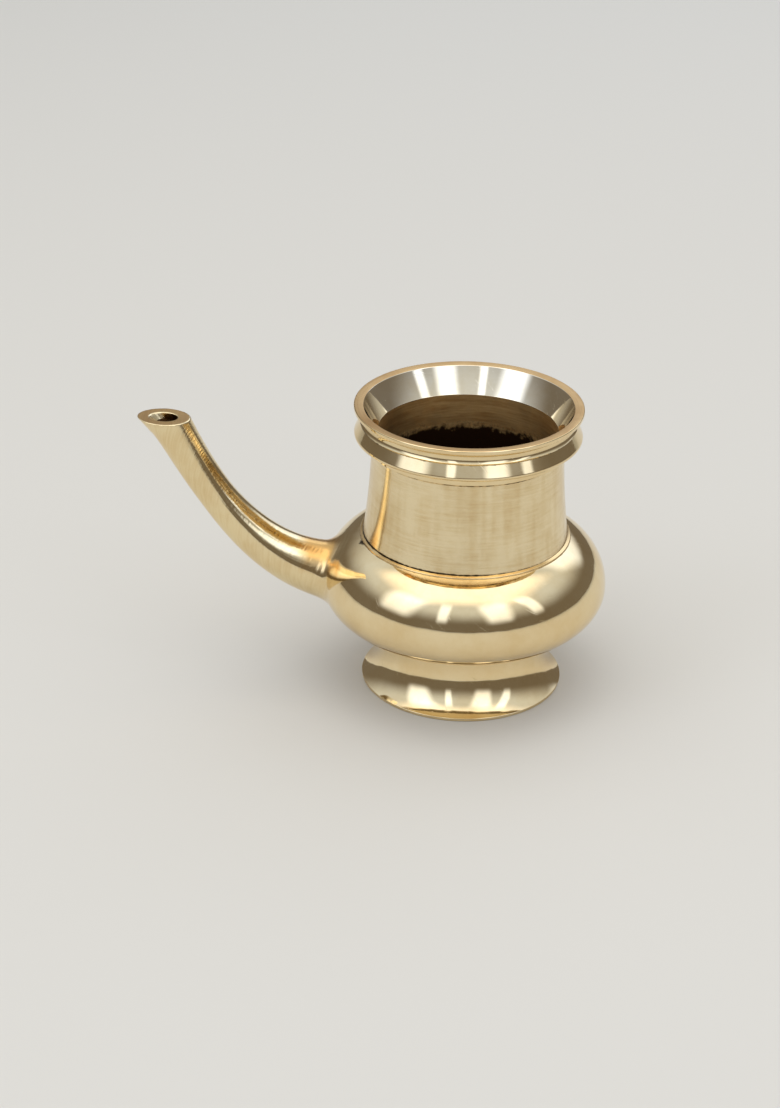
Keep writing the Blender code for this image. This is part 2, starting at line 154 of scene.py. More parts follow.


# Turned brass, used at several grades: a lathe leaves rings round the axis, a cloth leaves rubbing
# up and down, and a buffing wheel leaves a faint waviness, a patchy haze and a few hairlines.
# Polishing residue and painted shade darken a piece where it is marked for them, in its corners and
# hollows.
# The real rings are about 0.05 mm apart, and are drawn several times coarser so that they show.
def turned_brass(name, colour, deep, roughness, ring_size, ring_depth, wave_depth, streak,
                 ring_tone=0.0, rub_tone=0.0, residue_and_shade_colour="#40331F"):
    ring_change = 3
    wave_size, haze_size, flake_size = 14 * MM, 16 * MM, 1.5 * MM
    rub_width, rub_height = 2.5 * MM, 70 * MM
    hairline_width, hairline_length, hairline_depth = 0.2 * MM, 7 * MM, 0.004
    hairline_dull, residue_and_shade_dull = 0.06, 0.3
    ragged = 0.8
    quarter_turn = 0.25
    material = bpy.data.materials.new(name)
    material.use_nodes = True
    tree = material.node_tree
    shader = tree.nodes["Principled BSDF"]
    shader.inputs["Metallic"].default_value = 1.0
    shader.inputs["Anisotropic"].default_value = streak
    shader.inputs["Anisotropic Rotation"].default_value = quarter_turn
    place = node(tree, "TexCoord").outputs["Object"]
    centred = node(tree, "Mapping", {"Location": -axis}, {"Vector": place}).outputs[0]
    flat = node(
        tree, "VectorMath", {"operation": "MULTIPLY", 1: (1, 1, 0)}, {0: centred},
    ).outputs[0]
    radius = node(tree, "VectorMath", {"operation": "LENGTH"}, {0: flat}).outputs["Value"]
    way = node(tree, "VectorMath", {"operation": "NORMALIZE"}, {0: flat}).outputs[0]
    run = node(
        tree, "VectorMath", {"operation": "SCALE", "Scale": ring_change * ring_size * MM}, {0: way},
    ).outputs[0]
    run_part = node(tree, "SeparateXYZ", {}, {0: run})
    height = node(tree, "SeparateXYZ", {}, {0: centred}).outputs["Z"]
    ring_place = node(
        tree, "CombineXYZ", {}, {"X": radius, "Y": height, "Z": run_part.outputs["X"]},
    ).outputs[0]
    rings = node(
        tree, "TexNoise",
        {"noise_dimensions": "4D", "Scale": 1 / (ring_size * MM), "Detail": 3.0, "Roughness": 0.6},
        {"Vector": ring_place, "W": run_part.outputs["Y"]},
    ).outputs[0]
    wave = node(
        tree, "TexNoise", {"Scale": 1 / wave_size, "Detail": 2.0}, {"Vector": centred},
    ).outputs[0]
    haze = node(
        tree, "TexNoise", {"Scale": 1 / haze_size, "Detail": 6.0, "Roughness": 0.65},
        {"Vector": centred},
    ).outputs[0]
    rubbed = node(
        tree, "Mapping", {"Scale": (1 / rub_width, 1 / rub_width, 1 / rub_height)},
        {"Vector": centred},
    ).outputs[0]
    rub = node(tree, "TexNoise", {"Scale": 1.0, "Detail": 3.0}, {"Vector": rubbed}).outputs[0]

    # Hairlines are drawn wider than real ones so that they show. Some run round with the rings,
    # and some lie aslant.
    turned = node(tree, "Mapping", {"Rotation": (0.5, 0.7, 0.9)}, {"Vector": centred}).outputs[0]
    aslant = node(
        tree, "Mapping",
        {"Scale": (1 / hairline_width, 1 / hairline_length, 1 / hairline_length)},
        {"Vector": turned},
    ).outputs[0]
    scratch = node(tree, "TexNoise", {"Scale": 1.0, "Detail": 1.0}, {"Vector": aslant}).outputs[0]
    scratch = node(
        tree, "MapRange", {"From Min": 0.72, "From Max": 0.78}, {"Value": scratch},
    ).outputs[0]
    hairlines = node(
        tree, "MapRange", {"From Min": 0.67, "From Max": 0.75}, {"Value": rings},
    ).outputs[0]
    hairlines = node(
        tree, "Math", {"operation": "MAXIMUM"}, {0: hairlines, 1: scratch},
    ).outputs[0]

    middle = (ring_tone + rub_tone) / 2
    tone = node(
        tree, "MapRange",
        {"From Min": 0.35, "From Max": 0.75, "To Min": -middle, "To Max": 0.8 - middle,
         "clamp": False},
        {"Value": haze},
    ).outputs[0]
    for amount, pattern in ((ring_tone, rings), (rub_tone, rub)):
        tone = node(
            tree, "Math", {"operation": "MULTIPLY_ADD", 1: amount}, {0: pattern, 2: tone},
        ).outputs[0]
    shade = node(
        tree, "Mix", {"data_type": "RGBA", 6: linear(colour), 7: linear(deep)}, {0: tone},
    ).outputs[2]

    # Residue and painted shade have a ragged edge, because the haze and its flakes move the level
    # at which they start
    flakes = node(
        tree, "TexNoise", {"Scale": 1 / flake_size, "Detail": 4.0}, {"Vector": centred},
    ).outputs[0]
    residue_and_shade = node(tree, "Attribute", {"attribute_name": "residue_and_shade"}).outputs["Fac"]
    for pattern in (haze, flakes):
        residue_and_shade = node(
            tree, "Math", {"operation": "MULTIPLY_ADD", 1: ragged}, {0: pattern, 2: residue_and_shade},
        ).outputs[0]
    residue_and_shade = node(
        tree, "MapRange", {"From Min": 1.25, "From Max": 1.6}, {"Value": residue_and_shade},
    ).outputs[0]
    # Mixes in the dark colour, partly as residue and partly as painted shade
    stained_and_shaded = node(
        tree, "Mix", {"data_type": "RGBA", 7: linear(residue_and_shade_colour)}, {0: residue_and_shade, 6: shade},
    ).outputs[2]
    tree.links.new(stained_and_shaded, shader.inputs["Base Color"])

    dull = node(
        tree, "MapRange",
        {"From Min": 0.3, "From Max": 0.7, "To Min": 0.8 * roughness, "To Max": 1.2 * roughness},
        {"Value": haze},
    ).outputs[0]
    for amount, pattern in ((hairline_dull, hairlines), (residue_and_shade_dull, residue_and_shade)):
        dull = node(
            tree, "Math", {"operation": "MULTIPLY_ADD", 1: amount}, {0: pattern, 2: dull},
        ).outputs[0]
    tree.links.new(dull, shader.inputs["Roughness"])

    # The relief is summed in millimetres
    relief = node(
        tree, "Math", {"operation": "MULTIPLY", 1: -hairline_depth}, {0: hairlines},
    ).outputs[0]
    for depth, pattern in ((ring_depth, rings), (wave_depth, wave)):
        relief = node(
            tree, "Math", {"operation": "MULTIPLY_ADD", 1: depth}, {0: pattern, 2: relief},
        ).outputs[0]
    bump = node(tree, "Bump", {"Strength": 1.0, "Distance": MM}, {"Height": relief}).outputs[0]
    tree.links.new(bump, shader.inputs["Normal"])
    tangent = node(tree, "Tangent", {"direction_type": "RADIAL", "axis": "Z"}).outputs[0]
    tree.links.new(tangent, shader.inputs["Tangent"])
    return material


# Cast brass that no tool has touched since the mould: dark brown, grainy and dull.
# The grain of the sand mould is about 0.6 mm.
def cast_brass(name, colour, deep, roughness):
    blotch_size, grain_size, grain_depth = 7 * MM, 0.6 * MM, 0.05 * MM
    material = bpy.data.materials.new(name)
    material.use_nodes = True
    tree = material.node_tree
    shader = tree.nodes["Principled BSDF"]
    shader.inputs["Metallic"].default_value = 1.0
    place = node(tree, "TexCoord").outputs["Object"]
    blotch = node(
        tree, "TexNoise", {"Scale": 1 / blotch_size, "Detail": 6.0, "Roughness": 0.7},
        {"Vector": place},
    ).outputs[0]
    grain = node(
        tree, "TexNoise", {"Scale": 1 / grain_size, "Detail": 3.0}, {"Vector": place},
    ).outputs[0]
    shade = node(
        tree, "MapRange", {"From Min": 0.35, "From Max": 0.65}, {"Value": blotch},
    ).outputs[0]
    tone = node(
        tree, "Mix", {"data_type": "RGBA", 6: linear(colour), 7: linear(deep)}, {0: shade},
    ).outputs[2]
    tree.links.new(tone, shader.inputs["Base Color"])
    dull = node(
        tree, "MapRange",
        {"From Min": 0.3, "From Max": 0.7, "To Min": 0.85 * roughness, "To Max": 1.15 * roughness},
        {"Value": grain},
    ).outputs[0]
    tree.links.new(dull, shader.inputs["Roughness"])
    rough = node(
        tree, "Bump", {"Strength": 1.0, "Distance": grain_depth}, {"Height": grain},
    ).outputs[0]
    tree.links.new(rough, shader.inputs["Normal"])
    return material


outline = [(foot_waist, foot_height)]
outline += sweep(
    (foot_waist, flare_start), (foot_waist, flare_pull),
    (foot_base - brim_round, 2 * foot_edge + brim_drop), 48,
)
outline += arc(
    (foot_base - brim_round, 2 * foot_edge - brim_drop), (brim_round, brim_round), 60, 0, 5,
)
outline += arc((foot_base - foot_edge, foot_edge), (foot_edge, foot_edge), 0, -90, 10)
outline += sweep((foot_land, 0), (foot_bore, flare_pull), (foot_bore, flare_start), 32)
outline.append((foot_bore, foot_height))
foot = turn("foot", outline)
buffed = turned_brass(
    "buffed_brass", "#F1DDB2", "#E2C590", 0.06,
    ring_size=0.45, ring_depth=0.003, wave_depth=0.15, streak=0.3,
)
hollow_skin = cast_brass("as_cast_brass", "#6B4C28", "#33210F", 0.5)
finish_faces(foot, buffed, all_over)
finish_faces(foot, hollow_skin, lambda radius, height, outward, upward: outward < -FACING)
# The foot's top, just under the belly, is darkened with residue and painted shade
paint(foot, "residue_and_shade", lambda radius, height, bearing: (height - foot_residue_and_shade_start) / foot_residue_and_shade_rise)
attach(foot, "root")
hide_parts("foot_ring")

# Lower half of the belly: a shallow dish with a thick floor and a ring under it for the foot.
# Cast brass, turned and buffed outside, dull inside. Its rim is lapped by the upper half.
equator = 32.5
belly_radius = 43.0
belly_wall = 2.6
bowl_flat = 24.0
bowl_depth = 13.2
seam_half = 1.0
lap_height = 2.5
lap_outer = 41.3
locating_outer = 21.3
locating_inner = 19.4
locating_depth = 2.0
locating_margin = 0.05
bowl_residue_and_shade_width = 3.0
lap_inner = belly_radius - belly_wall
bowl_base = equator - bowl_depth
bowl_middle = (bowl_flat, equator)
bowl_reach = (belly_radius - bowl_flat, bowl_depth)
bowl_seam_angle = degrees(asin(seam_half / bowl_depth))
outline = [(0, bowl_base + belly_wall)]
outline += arc(bowl_middle, (bowl_reach[0] - belly_wall, bowl_depth - belly_wall), -90, 0, 40)
outline += [(lap_inner, equator + lap_height), (lap_outer, equator + lap_height)]
outline += [(lap_outer, equator), (belly_radius - seam_half, equator)]
outline += arc(bowl_middle, bowl_reach, -bowl_seam_angle, -90, 64)
outline += [(locating_outer, bowl_base), (locating_outer, bowl_base - locating_depth)]
outline += [(locating_inner, bowl_base - locating_depth), (locating_inner, bowl_base)]
outline.append((0, bowl_base))
bowl = turn("bowl", outline, closed=False)
inside_skin = cast_brass("dark_cast_brass", "#5E4226", "#2A1A0E", 0.55)
finish_faces(bowl, buffed, all_over)
finish_faces(bowl, inside_skin, lambda radius, height, outward, upward: (
    outward < -FACING or upward > FACING))
finish_faces(bowl, hollow_skin, lambda radius, height, outward, upward: (
    radius < locating_outer + locating_margin and height < bowl_base + locating_margin))
# Next to the foot, under the belly, the bowl is darkened with residue and painted shade
paint(bowl, "residue_and_shade", lambda radius, height, bearing: (
    (foot_waist + bowl_residue_and_shade_width - radius) / bowl_residue_and_shade_width))
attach(bowl, "root")
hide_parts("bowl_shell")

# Bead in the corner between the foot and the belly: a hollow fillet of filler brass.
# It is run in with a torch and is a little deeper in colour than the castings. The buffing wheel
# doesn't reach it, so residue stays there, and the corner is painted darker as shade too.
filler = turned_brass(
    "filler_brass", "#EACD96", "#D2A86C", 0.16,
    ring_size=0.5, ring_depth=0.004, wave_depth=0.05, streak=0.0,
)
bead = 1.1
bead_sink = 0.1
bead_rows = 12
foot_bead_residue_and_shade = 0.7


def hanging_bead(name, wall, top, lap, edge, toe):
    """A bead in the corner between a wall and a ledge over it, let into the ledge by a lap. It has
    a thin edge under the ledge, and is hollow from there to its toe on the wall."""
    outline = [(wall - bead_sink, top + lap), (wall + bead, top + lap)]
    outline += sweep(
        (wall + bead, top - edge), (wall + edge, top - edge), (toe, top - bead), bead_rows,
    )
    outline.append((wall - bead_sink, top - bead))
    return turn(name, outline)


foot_bead = hanging_bead(
    "foot_bead", foot_waist, foot_height, lap=0.02, edge=0.1, toe=foot_waist,
)
finish_faces(foot_bead, filler, all_over)
# Residue and painted shade over the whole bead
paint(foot_bead, "residue_and_shade", lambda radius, height, bearing: foot_bead_residue_and_shade)
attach(foot_bead, "root")
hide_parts("foot_braze")

# Upper half of the belly: the rounded shoulder that carries the neck.
# Cast brass, turned and buffed to a mirror, rebated over the lower half's rim.
shoulder_crown = 26.9
shoulder_rise = 16.6
shoulder_opening = 30.0
residue_and_shade_end = 32.1
residue_and_shade_fade = 0.5
run_bearing = -165.0
run_spread = 8
run_width = 1.5
shoulder_middle = (shoulder_crown, equator)
shoulder_reach = (belly_radius - shoulder_crown, shoulder_rise)
inner_reach = (shoulder_reach[0] - belly_wall, shoulder_rise - belly_wall)
rebate_top = equator + lap_height
shoulder_seam_angle = degrees(asin(seam_half / shoulder_rise))
rebate_angle = degrees(asin(lap_height / inner_reach[1]))
outer_stop = 90 - degrees(asin((shoulder_opening - shoulder_crown) / shoulder_reach[0]))
inner_stop = 90 - degrees(asin((shoulder_opening - shoulder_crown) / inner_reach[0]))
outline = arc(shoulder_middle, shoulder_reach, outer_stop, shoulder_seam_angle, 72)
outline += [(belly_radius - seam_half, equator), (lap_outer, equator), (lap_outer, rebate_top)]
outline += arc(shoulder_middle, inner_reach, rebate_angle, inner_stop, 32)
shoulder = turn("shoulder", outline)
finish_faces(shoulder, buffed, all_over)
finish_faces(shoulder, inside_skin, lambda radius, height, outward, upward: (
    outward < -FACING or upward < -FACING))


def shoulder_residue_and_shade(radius, height, bearing):
    """Residue and painted shade along the neck's base, with one run of residue on the spout's side.
    """
    ring = (residue_and_shade_end - radius) / residue_and_shade_fade
    run = 1.0 - abs(bearing - run_bearing) / run_spread - abs(radius - residue_and_shade_end) / run_width
    return max(ring, run) if height > rebate_top else 0.0


paint(shoulder, "residue_and_shade", shoulder_residue_and_shade)
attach(shoulder, "root")
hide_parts("shoulder_shell")

# Seam at the belly's widest line: a groove between the two halves, filled with filler brass.
# It is turned and buffed flush with them, so it has their finish and hardly shows.
seam_rows = 6
outline = arc(shoulder_middle, shoulder_reach, shoulder_seam_angle, 0, seam_rows)
outline += arc(bowl_middle, bowl_reach, 0, -bowl_seam_angle, seam_rows)[1:]
outline.append((belly_radius - seam_half, equator))
seam = turn("belly_seam", outline)
finish_faces(seam, buffed, all_over)
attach(seam, "root")
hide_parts("belly_braze")

# Spout: a curved pipe, wide at its root, narrow past its middle and cut almost level at its tip.
# Cast brass, filed along its length and buffed. It passes through a hole drilled across the seam.
spout_root = Vector((-32.5, 0, 34.4))
spout_tip = Vector((-89.9, 0, 84.38))
root_angle = radians(-2.8)
tip_angle = radians(50.0)
root_reach = 35.3
tip_reach = 10.0
root_pull = spout_root + root_reach * Vector((-cos(root_angle), 0, sin(root_angle)))
tip_pull = spout_tip - tip_reach * Vector((-cos(tip_angle), 0, sin(tip_angle)))
waist_place = 0.565
root_taper = 1.5
lean_power = 4
pipe_sizes = (10.0, 5.4, 6.4, 0.65)
bore_sizes = (6.8, 2.9, 3.2, 0.0)
pipe_sides = 96
pipe_rows = 150
bore_rows = 60
tip_rows = 6
tip_face_rows = 4
bore_bright_rows = 4
tip_round = 0.35
tip_tilt = radians(2.3)
root_search = (0.0, 0.5)
tip_search = (0.7, 1.5)
warm_end = 51
warm_fade = 4
warm_base = 37
warm_rise = 5
drill_end = 0.4
drill_rows = 24


def spout_middle(t):
    """Point and direction on the spout's centre line, from t = 0 at its root to 1 at its tip,
    and straight on past that."""
    past = max(0.0, t - 1)
    t = min(t, 1.0)
    s = 1 - t
    point = spout_root * s**3 + root_pull * (3 * s * s * t)
    point = point + tip_pull * (3 * s * t * t) + spout_tip * t**3
    travel = (root_pull - spout_root) * (3 * s * s) + (tip_pull - root_pull) * (6 * s * t)
    travel += (spout_tip - tip_pull) * (3 * t * t)
    return point + travel * past, travel


def on_pipe(t, side, sizes):
    """A point on the pipe's outside or bore, at a turn from its upper side. The sizes are the radii
    at root, waist and tip, and how far the wall leans off the centre line at the tip."""
    root, waist, tip, lean = sizes
    if t < waist_place:
        radius = waist + (root - waist) * (1 - t / waist_place) ** root_taper
    else:
        radius = waist + (tip - waist) * ((min(t, 1.0) - waist_place) / (1 - waist_place)) ** 2
    point, travel = spout_middle(t)
    point = point + Vector((lean * min(t, 1.0) ** lean_power, 0, 0))
    way = travel.normalized()
    upper, beside = Vector((way.z, 0, -way.x)), Vector((0, 1, 0))
    turned = 2 * pi * side / pipe_sides
    return point + radius * (cos(turned) * upper + sin(turned) * beside)


def belly_level(point, inset):
    """Negative inside the belly's surface moved in by an inset, positive outside, and its slope."""
    radius = point.xy.length
    upper = point.z >= equator
    middle = shoulder_crown if upper else bowl_flat
    rise = (shoulder_rise if upper else bowl_depth) - inset
    width = belly_radius - middle - inset
    across = (radius - middle) / width
    up = (point.z - equator) / rise
    outward = Vector((point.x, point.y, 0)) / radius
    slope = 2 * (outward * across / width + Vector((0, 0, up / rise)))
    return across * across + up * up - 1, slope


def crossing(first, last, outside, halvings=40):
    """The place between first and last at which a test turns true."""
    for _ in range(halvings):
        middle = (first + last) / 2
        if outside(middle):
            last = middle
        else:
            first = middle
    return last


def skin(name, sections, zones):
    """Lays a grid over closed sections, one column to a section and one row to a point of it.
    Each row has its own finish. Each point keeps its turn, as a place on a circle, and its run
    along the section."""
    columns, rows = len(sections), len(sections[0])
    bpy.ops.object.select_all(action="DESELECT")
    bpy.ops.mesh.primitive_grid_add(x_subdivisions=columns, y_subdivisions=rows, size=1)
    piece = bpy.context.active_object
    piece.name = name
    finishes = list(dict.fromkeys(zones))
    for material in finishes:
        piece.data.materials.append(material)
    for face in piece.data.polygons:
        row = int((face.center.y + 0.5) * rows)
        face.material_index = finishes.index(zones[row])
    runs = []
    for section in sections:
        steps = [(there - here).length for here, there in zip(section, section[1:])]
        runs.append([sum(steps[:row]) for row in range(rows)])
    lay = piece.data.attributes.new("lay", "FLOAT_VECTOR", "POINT")
    for vertex, mark in zip(piece.data.vertices, lay.data):
        column = round((vertex.co.x + 0.5) * columns) % columns
        row = round((vertex.co.y + 0.5) * rows) % rows
        turned = 2 * pi * column / columns
        mark.vector = Vector((cos(turned), sin(turned), runs[column][row])) * MM
        vertex.co = axis + sections[column][row] * MM
    bpy.ops.object.mode_set(mode="EDIT")
    bpy.ops.mesh.select_all(action="SELECT")
    bpy.ops.mesh.remove_doubles(threshold=WELD)
    bpy.ops.mesh.normals_make_consistent(inside=False)
    bpy.ops.object.mode_set(mode="OBJECT")
    bpy.ops.object.shade_smooth_by_angle(angle=SMOOTH_ANGLE)
    return piece


def corner(before, point, after, size, steps):
    """Points on a rounded corner that starts and ends a given size away from its sharp point."""
    start = point + (before - point).normalized() * size
    end = point + (after - point).normalized() * size
    places = [step / steps for step in range(steps + 1)]
    return [start * (1 - t) ** 2 + point * (2 * t * (1 - t)) + end * t * t for t in places]


def past_tip(point):
    """True above the cut, which is a little out of level."""
    return point.z > spout_tip.z - tan(tip_tilt) * (point.x - spout_tip.x)


def pipe_section(side):
    """One closed section of the pipe: outside wall, tip, bore wall and the end in the belly."""
    walls = []
    for sizes, rows in ((pipe_sizes, pipe_rows), (bore_sizes, bore_rows)):
        first = crossing(
            *root_search, lambda t: belly_level(on_pipe(t, side, sizes), belly_wall)[0] > 0,
        )
        last = crossing(*tip_search, lambda t: past_tip(on_pipe(t, side, sizes)))
        places = [first + (last - first) * row / rows for row in range(rows + 1)]
        walls.append([on_pipe(place, side, sizes) for place in places])
    outer, bore = walls
    face = [outer[-1].lerp(bore[-1], row / tip_face_rows) for row in range(1, tip_face_rows)]
    section = outer[:-2] + corner(outer[-2], outer[-1], face[0], tip_round, tip_rows)
    section += face + corner(face[-1], bore[-1], bore[-2], tip_round, tip_rows)
    return section + bore[-3::-1] + [bore[0].lerp(outer[0], 0.5)]


# Filed brass: a file leaves strokes along the pipe and rings of cross marks, and the buffing wheel
# softens them. The marks follow the pipe, so they read its turn and length from an attribute.
# Where a piece is painted with warmth, filler metal shows through, warmer and with deeper marks.
# Real marks are about 0.1 mm wide, and are drawn several times as wide so that they show.
def filed_brass(name, colour, deep, warm, roughness, stroke_depth, cross_depth):
    mean_radius = 7
    mark_size, stroke_length, haze_size = 0.8 * MM, 16 * MM, 9 * MM
    cross_change = 1.5
    cross_tone, warm_dull, warm_deepening = 1.2, 0.16, 2
    material = bpy.data.materials.new(name)
    material.use_nodes = True
    tree = material.node_tree
    shader = tree.nodes["Principled BSDF"]
    shader.inputs["Metallic"].default_value = 1.0
    lay = node(tree, "Attribute", {"attribute_name": "lay"}).outputs["Vector"]
    warmth = node(tree, "Attribute", {"attribute_name": "warmth"}).outputs["Fac"]
    place = node(tree, "TexCoord").outputs["Object"]
    along = node(
        tree, "Mapping",
        {"Scale": (mean_radius / mark_size, mean_radius / mark_size, 1 / stroke_length)},
        {"Vector": lay},
    ).outputs[0]
    across = node(
        tree, "Mapping", {"Scale": (cross_change / MM, cross_change / MM, 1 / mark_size)},
        {"Vector": lay},
    ).outputs[0]
    stroke = node(tree, "TexNoise", {"Scale": 1.0, "Detail": 2.0}, {"Vector": along}).outputs[0]
    cross = node(tree, "TexNoise", {"Scale": 1.0, "Detail": 2.0}, {"Vector": across}).outputs[0]
    haze = node(
        tree, "TexNoise", {"Scale": 1 / haze_size, "Detail": 5.0}, {"Vector": place},
    ).outputs[0]
    tone = node(
        tree, "MapRange", {"From Min": 0.35, "From Max": 0.7, "To Min": -0.6, "To Max": 0.0},
        {"Value": haze},
    ).outputs[0]
    tone = node(
        tree, "Math", {"operation": "MULTIPLY_ADD", 1: cross_tone}, {0: cross, 2: tone},
    ).outputs[0]
    shade = node(
        tree, "Mix", {"data_type": "RGBA", 6: linear(colour), 7: linear(deep)}, {0: tone},
    ).outputs[2]
    warmed = node(
        tree, "Mix", {"data_type": "RGBA", 7: linear(warm)}, {0: warmth, 6: shade},
    ).outputs[2]
    tree.links.new(warmed, shader.inputs["Base Color"])
    dull = node(
        tree, "MapRange",
        {"From Min": 0.3, "From Max": 0.7, "To Min": 0.7 * roughness, "To Max": 1.4 * roughness},
        {"Value": haze},
    ).outputs[0]
    dull = node(
        tree, "Math", {"operation": "MULTIPLY_ADD", 1: warm_dull}, {0: warmth, 2: dull},
    ).outputs[0]
    tree.links.new(dull, shader.inputs["Roughness"])

    # The relief is summed in millimetres
    depth = node(
        tree, "MapRange", {"To Min": cross_depth, "To Max": warm_deepening * cross_depth},
        {"Value": warmth},
    ).outputs[0]
    relief = node(
        tree, "Math", {"operation": "MULTIPLY", 1: stroke_depth}, {0: stroke},
    ).outputs[0]
    relief = node(
        tree, "Math", {"operation": "MULTIPLY_ADD"}, {0: cross, 1: depth, 2: relief},
    ).outputs[0]
    bump = node(tree, "Bump", {"Strength": 1.0, "Distance": MM}, {"Height": relief}).outputs[0]
    tree.links.new(bump, shader.inputs["Normal"])
    return material


filed = filed_brass(
    "filed_brass", "#EFDCB0", "#DEC18E", "#DBAE6A", 0.07, stroke_depth=0.04, cross_depth=0.035,
)
faced = turned_brass(
    "faced_brass", "#D2AC70", "#B88E56", 0.3,
    ring_size=0.5, ring_depth=0.006, wave_depth=0.0, streak=0.4, ring_tone=2.0,
)
outer_zone = [filed] * (pipe_rows - 1 + tip_rows)
tip_zone = [faced] * tip_face_rows
bore_zone = [filed] * (tip_rows + bore_bright_rows)
bore_zone += [inside_skin] * (bore_rows + 1 - bore_bright_rows)
pipe_sections = [pipe_section(side) for side in range(pipe_sides)]
spout = skin("spout", pipe_sections, outer_zone + tip_zone + bore_zone)
paint(spout, "warmth", lambda radius, height, bearing: (
    min((warm_end - radius) / warm_fade, (height - warm_base) / warm_rise)))
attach(spout, "root")
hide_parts("spout_pipe")

# The hole is drilled through both halves and their seam once the belly is whole.
drill_sections = []
for side in range(pipe_sides):
    places = [drill_end * row / drill_rows for row in range(drill_rows + 1)]
    rim = [on_pipe(place, side, pipe_sizes) for place in places]
    drill_sections.append([spout_middle(0.0)[0]] + rim + [spout_middle(drill_end)[0]])
drill = skin("drill", drill_sections, [inside_skin] * len(drill_sections[0]))
for drilled in (bowl, shoulder, seam):
    hole = drilled.modifiers.new("spout_hole", "BOOLEAN")
    hole.operation = "DIFFERENCE"
    hole.solver = "EXACT"
    hole.object = drill
    bpy.ops.object.select_all(action="DESELECT")
    bpy.context.view_layer.objects.active = drilled
    drilled.select_set(True)
    bpy.ops.object.modifier_apply(modifier=hole.name)
    bpy.ops.object.shade_smooth_by_angle(angle=SMOOTH_ANGLE)
bpy.data.objects.remove(drill)

# Fillet round the spout's root: filler brass run into the corner, then filed to a smooth saddle.
# It has the spout's finish, and shows as a warmer patch with file marks on its upper side.
fillet_size = 5.5
fillet_sink = 0.5
fillet_proud = 0.02
fillet_rows = 32
fillet_nudge = 0.002
fillet_thin = 0.12


def on_belly(point, tries=6):
    """The point moved square on to the belly's surface."""
    for _ in range(tries):
        level, slope = belly_level(point, 0.0)
        point = point - slope * (level / slope.length_squared)
    return point


def fillet_section(side):
    """One closed section of the saddle, tangent to the pipe and to the belly."""
    meet = crossing(
        0.0, waist_place, lambda t: belly_level(on_pipe(t, side, pipe_sizes), 0.0)[0] > 0,
    )
    edge = on_pipe(meet, side, pipe_sizes)
    middle, travel = spout_middle(meet)
    crest_place = meet + fillet_size / travel.length
    crest = on_pipe(crest_place, side, [size + fillet_proud for size in pipe_sizes])
    behind = on_pipe(crest_place - fillet_nudge, side, pipe_sizes)
    ahead = on_pipe(crest_place + fillet_nudge, side, pipe_sizes)
    crest_way = (behind - ahead).normalized()
    slope = belly_level(edge, 0.0)[1].normalized()
    away = edge - middle
    away = (away - slope * away.dot(slope)).normalized()
    toe = on_belly(edge + away * fillet_size)
    toe_slope = belly_level(toe, 0.0)[1].normalized()
    toe_way = toe - edge
    toe_way = (toe_way - toe_slope * toe_way.dot(toe_slope)).normalized()
    leave = crest_way * 2 * (crest - edge).length
    arrive = toe_way * 2 * (toe - edge).length

    # A curve of the fifth power leaves the crest and arrives at the toe without a bend
    section = []
    for row in range(fillet_rows + 1):
        t = row / fillet_rows
        ease = 10 * t**3 - 15 * t**4 + 6 * t**5
        section.append(
            crest.lerp(toe, ease) + leave * (t - 6 * t**3 + 8 * t**4 - 3 * t**5)
            + arrive * (7 * t**4 - 4 * t**3 - 3 * t**5)
        )
    inward = (middle - edge).normalized()
    section.append(toe - toe_slope * fillet_sink)
    section.append(edge - slope * fillet_sink + inward * fillet_sink)
    section.append(crest + (spout_middle(crest_place)[0] - crest).normalized() * fillet_sink)
    return section


saddle = [fillet_section(side) for side in range(pipe_sides)]
fillet = skin("spout_fillet", saddle, [filed] * len(saddle[0]))


def fillet_warmth(radius, height, bearing):
    """Filler shows on the upper side, and fades out where the saddle thins towards the belly."""
    proud = belly_level(Vector((radius, 0, height)), 0.0)[0]
    return min((height - warm_base) / warm_rise, proud / fillet_thin)


paint(fillet, "warmth", fillet_warmth)
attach(fillet, "root")
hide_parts("spout_braze")

# Neck: a tall tube, a little wider at its base, let into the shoulder by a spigot.
# Turned brass left with its fine lathe rings, so it is satin beside the buffed belly.
# Its bore is turned too, dull, and darkened below the mouth with residue and painted shade.
neck_seat = 48.6
neck_top = 80.73
neck_height = 31.4
neck_top_radius = 28.6
neck_base_radius = 30.8
neck_wall = 1.8
spigot_radius = 30.0
spigot_end = 46.6
neck_gap = 0.3
neck_rows = 48
bore_lean = 0.5
bore_residue_and_shade_top = 72.0
bore_residue_and_shade_fade = 7
bore_residue_and_shade_base = 0.55
base_residue_and_shade_height = 1.35
base_residue_and_shade_fade = 0.6
side_residue_and_shade = 0.6
side_residue_and_shade_swing = 0.35


def neck_radius(height):
    """The neck's outside, which widens ever faster towards its base."""
    down = (neck_top - neck_gap - height) / neck_height
    return neck_top_radius + (neck_base_radius - neck_top_radius) * max(0.0, min(1.0, down)) ** 2


heights = [neck_top + (neck_seat - neck_top) * row / neck_rows for row in range(neck_rows + 1)]
outline = [(neck_radius(height), height) for height in heights]
outline += [(spigot_radius, neck_seat), (spigot_radius, spigot_end)]
outline.append((neck_base_radius - neck_wall, spigot_end))
outline += [(neck_radius(height) - neck_wall, height) for height in reversed(heights)]
neck = turn("neck", outline)
satin = turned_brass(
    "satin_turned_brass", "#F0DEB6", "#DABD88", 0.2,
    ring_size=0.4, ring_depth=0.012, wave_depth=0.03, streak=0.92, ring_tone=1.4, rub_tone=1.2,
)
bore_skin = turned_brass(
    "dull_bore_brass", "#E4C084", "#BE9054", 0.45,
    ring_size=0.8, ring_depth=0.02, wave_depth=0.0, streak=0.4, ring_tone=2.5, residue_and_shade_colour="#2A1A0E",
)


